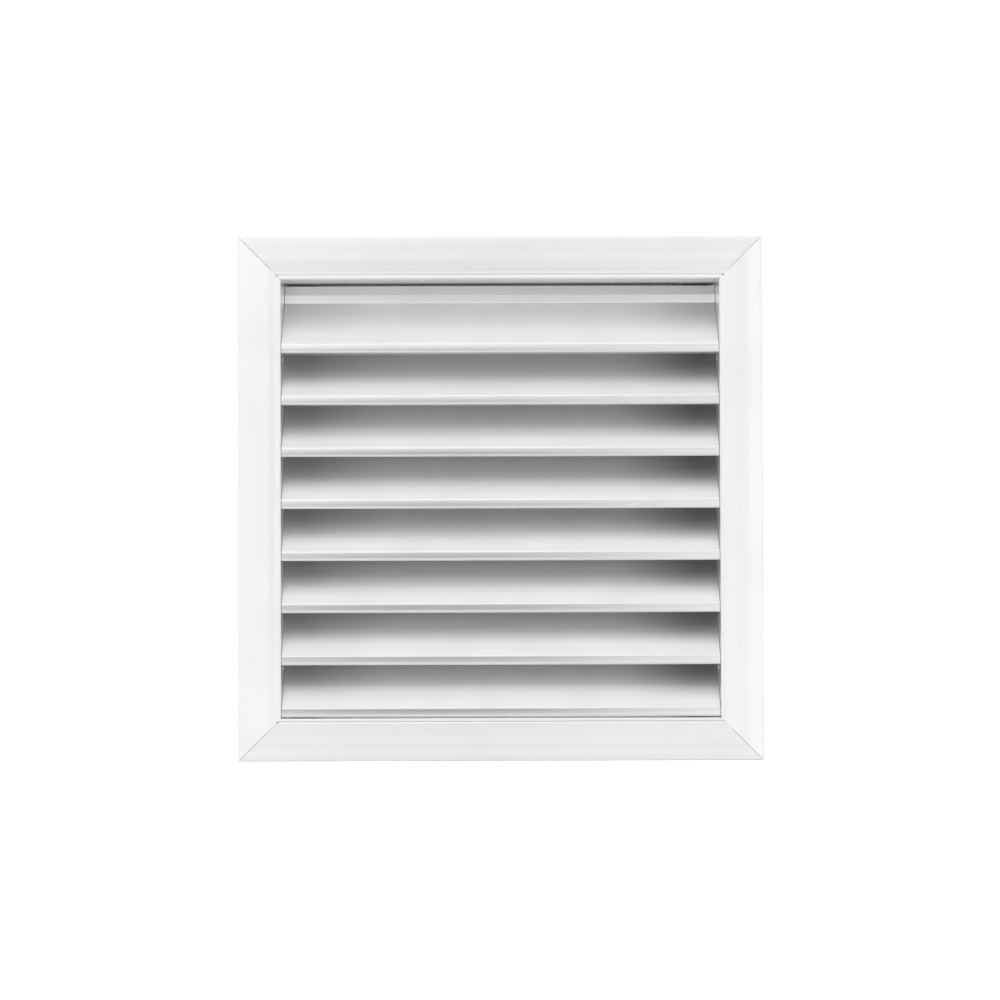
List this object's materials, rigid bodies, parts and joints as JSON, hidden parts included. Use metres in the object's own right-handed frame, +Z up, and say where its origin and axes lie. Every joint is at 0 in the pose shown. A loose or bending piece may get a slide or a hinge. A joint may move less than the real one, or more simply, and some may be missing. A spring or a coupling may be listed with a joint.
{
  "type": "louvred air grille",
  "caption": "Fixed-blade weather louvre: sloping blades in a mitred, flanged aluminium frame whose neck fits a square wall opening, with a wire bird mesh behind.",
  "frame": {"origin": "centre of the square wall opening, on the wall's surface, in the plane of the frame's feet", "axes": "+X to the right seen from outside, +Y into the wall, +Z up"},
  "size_m": [0.35, 0.04, 0.35],
  "materials": {
    "frame": "satin mill finish with fine extrusion lines",
    "blades": "satin mill finish with fine extrusion lines",
    "carriers": "plain mill-finish flat bar",
    "keys": "die-cast, matt",
    "rivets": "bright, set blind rivets",
    "mesh": "galvanised wire",
    "screws": "plain stainless steel"
  },
  "bodies": {
    "root": {"frame_top_rail": "frame", "frame_bottom_rail": "frame", "frame_left_stile": "frame", "frame_right_stile": "frame", "louvre_blade_1": "blades", "louvre_blade_2": "blades", "louvre_blade_3": "blades", "louvre_blade_4": "blades", "louvre_blade_5": "blades", "louvre_blade_6": "blades", "louvre_blade_7": "blades", "louvre_blade_8": "blades", "corner_key_top_left": "keys", "corner_key_top_right": "keys", "corner_key_bottom_left": "keys", "corner_key_bottom_right": "keys", "corner_key_grub_screws": "screws", "blade_carrier_left": "carriers", "blade_carrier_right": "carriers", "blade_screws": "screws", "carrier_rivets": "rivets", "bird_mesh": "mesh", "mesh_washers": "screws", "mesh_screws": "screws"}
  },
  "joints": []
}
